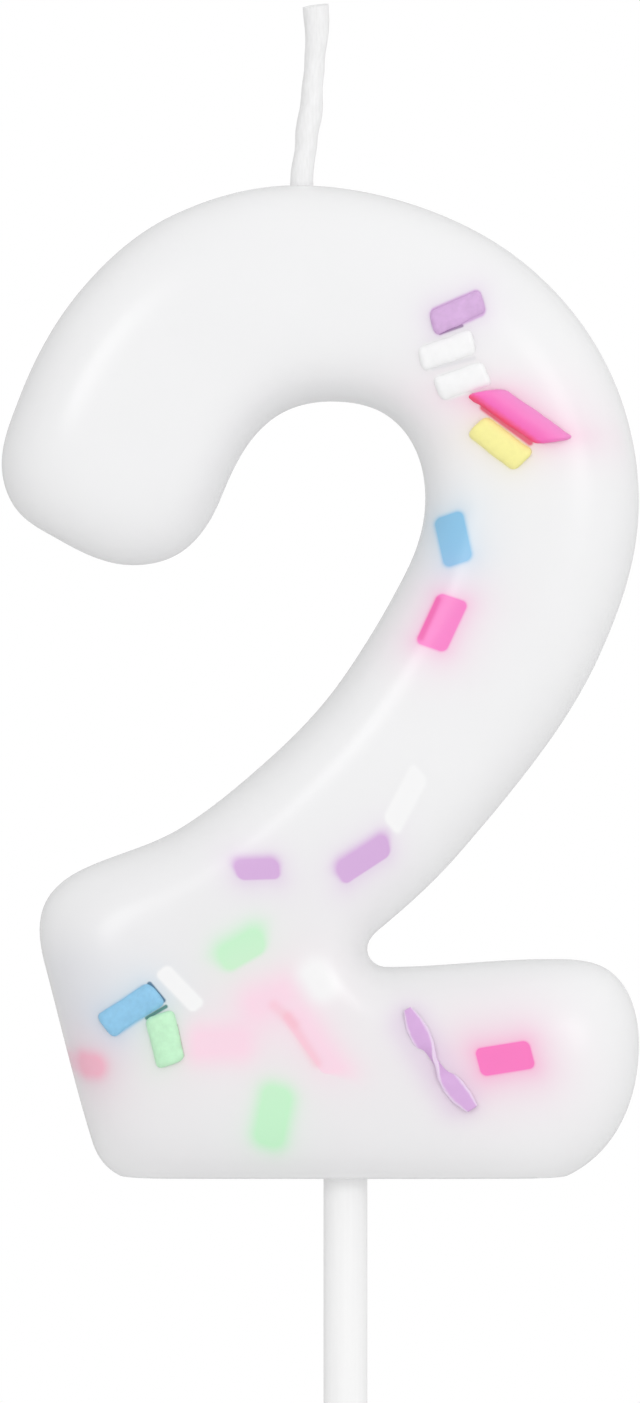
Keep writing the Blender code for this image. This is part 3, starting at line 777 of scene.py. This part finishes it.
def tint_and_shade_group():
    """Group that tints a colour near one sprinkle, seen through the wax over it.

    The tint follows the sprinkle's outline in its own plane, a rounded parallelogram. It is full over the
    sprinkle and fades in two steps: a core whose edge is soft, more so towards the side on which the
    sprinkle is rolled deeper, and a wide glow. It reaches no further through the wax than the face that the
    sprinkle is near.
    """
    # The same group also paints the strokes of painted shade and glow in the wax.
    group = bpy.data.node_groups.new("tint and painted shade in wax", "ShaderNodeTree")
    face = group.interface
    for name in ("Position", "Centre", "Run", "Span", "Out", "Inner"):
        face.new_socket(name, in_out="INPUT", socket_type="NodeSocketVector")
    for name in ("Wax", "Tint"):
        face.new_socket(name, in_out="INPUT", socket_type="NodeSocketColor")
    for name in ("Rounding", "Reach", "Core", "Softness", "Roll", "Glow", "Spread"):
        face.new_socket(name, in_out="INPUT", socket_type="NodeSocketFloat")
    face.new_socket("Colour", in_out="OUTPUT", socket_type="NodeSocketColor")
    given = group.nodes.new("NodeGroupInput").outputs
    offset = vector_calc(group, "SUBTRACT", given["Position"], given["Centre"])
    along, across, up = [dot(group, offset, given[name]) for name in ("Run", "Span", "Out")]
    plane = add(group, "ShaderNodeCombineXYZ", {0: along, 1: across})
    beyond = vector_calc(group, "SUBTRACT", vector_calc(group, "ABSOLUTE", plane), given["Inner"])
    beyond = vector_calc(group, "MAXIMUM", beyond, (0.0, 0.0, 0.0))
    reach = add_output(group, "ShaderNodeVectorMath", {0: beyond}, "Value", operation="LENGTH")
    distance = calc(group, "MAXIMUM", calc(group, "SUBTRACT", reach, given["Rounding"]), 0.0)
    side = calc(group, "MINIMUM", across, TINT_ROLL_REACH * MM)
    rolled = calc(group, "MULTIPLY_ADD", side, given["Roll"], given["Softness"])
    softness = calc(group, "MAXIMUM", rolled, TINT_SHARPEST * MM)
    core = calc(group, "MULTIPLY", given["Core"], bell(group, calc(group, "DIVIDE", distance, softness)))
    # The glow is painted light: the sprinkle's colour scattered through the wax around it.
    decay = calc(group, "DIVIDE", distance, calc(group, "MULTIPLY", given["Spread"], -1.0))
    glow = calc(group, "MULTIPLY", given["Glow"], calc(group, "EXPONENT", decay))
    deeper = calc(group, "SUBTRACT", calc(group, "ABSOLUTE", up), given["Reach"])
    near = bell(group, calc(group, "DIVIDE", calc(group, "MAXIMUM", deeper, 0.0), TINT_FADE * MM))
    share = calc(group, "MULTIPLY", near, calc(group, "MINIMUM", calc(group, "ADD", core, glow), 1.0))
    mixed = group.nodes.new("ShaderNodeMix")
    mixed.data_type = "RGBA"
    group.links.new(share, mixed.inputs[0])
    group.links.new(given["Wax"], mixed.inputs[6])
    group.links.new(given["Tint"], mixed.inputs[7])
    result = group.nodes.new("NodeGroupOutput")
    group.links.new(mixed.outputs[2], result.inputs["Colour"])
    return group


def bell(tree, value):
    """exp(-value squared)"""
    return calc(tree, "EXPONENT", calc(tree, "MULTIPLY", calc(tree, "POWER", value, 2.0), -1.0))


def tint_values(spot):
    """Inputs of the tint group for one sprinkle. A deeper one is softer, paler and shows a smaller core."""
    cover = max(spot["cover"], 0.0)
    look = TINT_LOOKS.get(spot["node"], {})
    rounding = TINT_ROUNDING * MM
    shrink = look.get("shrink", 0.1 + 0.3 * cover / MM) * MM
    half = spot["size"] / 2 - Vector((shrink, shrink, 0))
    turn = Quaternion(spot["out"], math.radians(look.get("turn", 0.0)))
    run, span = turn @ spot["run"], turn @ spot["span"]
    if look.get("facing"):
        run = Vector((run.x, 0, run.z)).normalized()
        span = Vector((-run.z, 0, run.x))
    return {
        "Centre": spot["centre"],
        "Run": run - look.get("skew", spot["skew"]) * span,
        "Span": span,
        "Out": spot["out"],
        "Inner": half - Vector((rounding,) * 3),
        "Tint": (*SPRINKLE_COLOURS[spot["colour"]], 1),
        "Rounding": rounding,
        "Reach": spot["size"].z / 2 + cover,
        "Core": look.get("core", max(0.25, 0.95 - 0.3 * cover / MM)),
        "Softness": look.get("soft", 0.14 + 0.55 * cover / MM) * MM,
        "Roll": look.get("roll", 0.0),
        "Glow": look.get("glow", GLOW[spot["colour"]]),
        "Spread": look.get("spread", 1.1) * MM,
    }


def shade_values(skin, row):
    """Inputs of the tint group for a row of HAZES_AND_SHADE or SHADES, a round-ended stroke on the front face."""
    x, z, length, width, tilt, soft, strength, colour = row
    place, *_ = skin.ray_cast(Vector((x, -20, z)) * MM, Vector((0, 1, 0)))
    run = Vector((math.cos(math.radians(tilt)), 0, math.sin(math.radians(tilt))))
    return {
        "Centre": place,
        "Run": run,
        "Span": Vector((-run.z, 0, run.x)),
        "Out": Vector((0, -1, 0)),
        "Inner": Vector(((length - width) / 2, 0, 0)) * MM,
        "Tint": (*colour, 1),
        "Rounding": width / 2 * MM,
        "Reach": 1.5 * MM,
        "Core": strength,
        "Softness": soft * MM,
        "Roll": 0.0,
        "Glow": 0.0,
        "Spread": 1.0 * MM,
    }


def wax_material(spots, skin):
    """Translucent white wax, tinted over each sprinkle in it, with a painted glow around it and painted shade.
    """
    material, tree, shader = principled("wax", 0.3, subsurface=0.35, depth=0.9)
    position = object_position(tree)
    cloudy = [0.985 * share for share in WAX]
    colour = ramp(tree, grain(tree, position, 9.0, 1.0), (0.3, cloudy), (0.7, WAX))
    group = tint_and_shade_group()
    hazes_and_shade = [shade_values(skin, row) for row in HAZES_AND_SHADE]
    shades = [shade_values(skin, row) for row in SHADES]
    # Painted light and shade: the strokes behind darken the foot, each sprinkle's tint adds a glow around it,
    # and the strokes over them paint shadows in the gaps.
    for values in [*hazes_and_shade, *map(tint_values, spots), *shades]:
        inputs = {**values, "Position": position, "Wax": colour}
        colour = add(tree, "ShaderNodeGroup", inputs, node_tree=group)
    paint(tree, shader, colour, grain(tree, position, 3.0), 0.22, 0.268)
    bump(tree, shader, grain(tree, position, 2.4, 1.0), 0.12, 0.05)
    return material


def sprinkle_material(colour):
    """Dyed wax with a fine mottled grain."""
    material, tree, shader = principled("sprinkle " + colour, 0.5, subsurface=0.15, depth=0.3)
    position = object_position(tree)
    mottle = MOTTLE.get(colour, 1.0)
    tone = Vector(SPRINKLE_COLOURS[colour])
    darker, lighter = tone * (1 - 0.06 * mottle), tone * (1 + 0.03 * mottle)
    shade = ramp(tree, grain(tree, position, 0.45, 3.0), (0.3, darker), (0.7, lighter))
    paint(tree, shader, shade, grain(tree, position, 0.6), 0.42, 0.6)
    bump(tree, shader, grain(tree, position, 0.22, 3.0), 0.35 * mottle, 0.04)
    return material


def sliver_material(spot):
    """Dyed wax with painted shade that deepens its lower edge and painted light that pales its upper facet."""
    material, tree, shader = principled("sprinkle hot pink sliver", 0.42, subsurface=0.15, depth=0.3)
    position = object_position(tree)
    offset = vector_calc(tree, "SUBTRACT", position, spot["centre"])
    across = calc(tree, "DIVIDE", dot(tree, offset, spot["span"]), spot["size"].y)
    speckled = calc(tree, "MULTIPLY_ADD", grain(tree, position, 0.4, 3.0), 0.1, across)
    shade = ramp(tree, calc(tree, "ADD", speckled, 0.45), *SLIVER_PAINTED_SHADING)
    paint(tree, shader, shade, grain(tree, position, 0.6), 0.36, 0.5)
    bump(tree, shader, grain(tree, position, 0.3, 3.0), 0.2, 0.03)
    return material


def twist_material():
    """Lilac wax that is paler along the ribbon's two edges."""
    material, tree, shader = principled("sprinkle lilac strip", 0.45, subsurface=0.15, depth=0.3)
    position = object_position(tree)
    edge = add_output(tree, "ShaderNodeAttribute", {}, "Fac", attribute_name="edge")
    uneven = calc(tree, "MULTIPLY_ADD", grain(tree, position, 0.4, 3.0), 0.25, edge)
    shade = ramp(tree, uneven, *TWIST_TONES)
    paint(tree, shader, shade, grain(tree, position, 0.6), 0.38, 0.52)
    bump(tree, shader, grain(tree, position, 0.3, 3.0), 0.25, 0.03)
    return material


def wick_material():
    """Cotton plies that show faintly through a coat of wax."""
    material, tree, shader = principled("waxed cotton", 0.42, subsurface=0.3, depth=0.5)
    position = object_position(tree)
    fibres = add(tree, "ShaderNodeMapping", {"Vector": position, "Scale": (1.0, 1.0, 0.18)})
    threads = grain(tree, fibres, 0.16, 4.0)
    paint(tree, shader, ramp(tree, threads, *WICK_TONES), threads, 0.35, 0.55)
    bump(tree, shader, threads, 0.3, 0.05)
    return material


def stick_material():
    """White moulded plastic with faint drawing lines."""
    material, tree, shader = principled("white plastic", 0.3)
    position = object_position(tree)
    drawn = add(tree, "ShaderNodeMapping", {"Vector": position, "Scale": (1.0, 1.0, 0.02)})
    lines = grain(tree, drawn, 0.3, 2.0)
    paint(tree, shader, ramp(tree, lines, *STICK_TONES), lines, 0.29, 0.38)
    bump(tree, shader, lines, 0.1, 0.02)
    return material


def floor_material():
    """Pale matt table top, very slightly clouded."""
    material, tree, shader = principled("floor", 0.8)
    shade = ramp(tree, grain(tree, object_position(tree), 40.0), *FLOOR_TONES)
    tree.links.new(shade, shader.inputs["Base Color"])
    return material


# Studio


def floor():
    """Round pale table top with a chamfered edge, which the stick's tip stands on."""
    low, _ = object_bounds()
    inner = FLOOR_RADIUS - FLOOR_CHAMFER
    sections = ((FLOOR_RADIUS, -FLOOR_THICKNESS), (FLOOR_RADIUS, -FLOOR_CHAMFER), (inner, 0.0))
    rings = [circle(radius, low.z + z, FLOOR_SIDES) for radius, z in sections]
    table = new_object("floor", *loft(rings), floor_material())
    table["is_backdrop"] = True


def world():
    """White behind the candle, and a soft surround that is brightest in front, above and to the right."""
    surround = bpy.data.worlds.new("studio")
    bpy.context.scene.world = surround
    surround.use_nodes = True
    tree = surround.node_tree
    tree.nodes.clear()
    direction = add_output(tree, "ShaderNodeTexCoord", {}, "Generated")
    level = calc(tree, "ADD", dot(tree, direction, AMBIENT_LEAN), AMBIENT)
    soft = add(tree, "ShaderNodeBackground", {"Color": (1, 1, 1, 1), "Strength": level})
    plain = add(tree, "ShaderNodeBackground", {"Color": (1, 1, 1, 1), "Strength": 1.0})
    seen = add(tree, "ShaderNodeLightPath")
    mixed = add(tree, "ShaderNodeMixShader", {0: seen, 1: soft, 2: plain})
    output = tree.nodes.new("ShaderNodeOutputWorld")
    tree.links.new(mixed, output.inputs["Surface"])


def softbox(name, azimuth, elevation, width, height, watts):
    """Area light aimed at the middle of the numeral.

    Azimuth 0 is in front, and positive is to the right. The light's width lies along the line to it from the
    camera's axis, and its height square to that line.
    """
    light = bpy.data.lights.new(name, "AREA")
    light.shape = "RECTANGLE"
    light.size = width
    light.size_y = height
    light.energy = watts
    lamp = bpy.data.objects.new(name, light)
    bpy.context.scene.collection.objects.link(lamp)
    target = Vector((0, 0, VIEW_CENTRE[1]))
    turn, rise = math.radians(azimuth), math.radians(elevation)
    away = Vector((math.sin(turn) * math.cos(rise), -math.cos(turn) * math.cos(rise), math.sin(rise)))
    lamp.location = target + away * SOFTBOX_DISTANCE
    lamp.rotation_mode = "QUATERNION"
    lean = Quaternion((0, 0, 1), math.atan2(elevation, azimuth))
    lamp.rotation_quaternion = away.to_track_quat("Z", "Y") @ lean


def camera():
    """Level camera straight in front, with a long lens."""
    data = bpy.data.cameras.new("camera")
    data.lens = CAMERA_LENS
    data.sensor_width = CAMERA_SENSOR
    seat = bpy.data.objects.new("camera", data)
    bpy.context.scene.collection.objects.link(seat)
    distance = VIEW_HEIGHT * CAMERA_LENS / CAMERA_SENSOR
    seat.location = (VIEW_CENTRE[0], -distance, VIEW_CENTRE[1])
    seat.rotation_euler = (math.pi / 2, 0, 0)
    data.clip_start = 0.01
    data.clip_end = 10
    bpy.context.scene.camera = seat


def sprinkles(skin):
    """All the chopped rods and slivers, front and back. Returns where each of them lies."""
    finishes = {colour: sprinkle_material(colour) for colour in SPRINKLE_COLOURS}
    spots = []
    for node in sorted(SLOTS):
        if SLOTS[node] not in SPRINKLE_COLOURS or node == "twist_lilac_foot":
            continue
        spot = rod_frame(node, skin)
        spot["colour"] = SLOTS[node]
        spot["node"] = node
        across, rise = NUDGES.get(node, (0.0, 0.0))
        spot["centre"] += Vector((across, 0, rise)) * MM
        spots.append(spot)
        if node == "sliver_hot_pink_shoulder":
            chopped_rod(node, spot, sliver_material(spot), SLIVER_RIDGE)
        else:
            chopped_rod(node, spot, finishes[SLOTS[node]])
    return spots


def main():
    camera()
    points, triangles = wax_form()
    skin = BVHTree.FromPolygons([Vector(point) * MM for point in points], triangles.tolist())
    spots = sprinkles(skin)
    twisted_strip("twist_lilac_foot", skin, twist_material())
    wax_numeral(points, triangles, wax_material(spots, skin))
    wick(wick_material())
    cake_stick(stick_material())
    floor()
    world()
    softbox("left softbox", -27, 16, 0.14, 0.2, 0.3)
    softbox("right softbox", 28, 13, 0.15, 0.22, 0.28)
    bpy.context.scene.view_settings.view_transform = "Standard"


main()
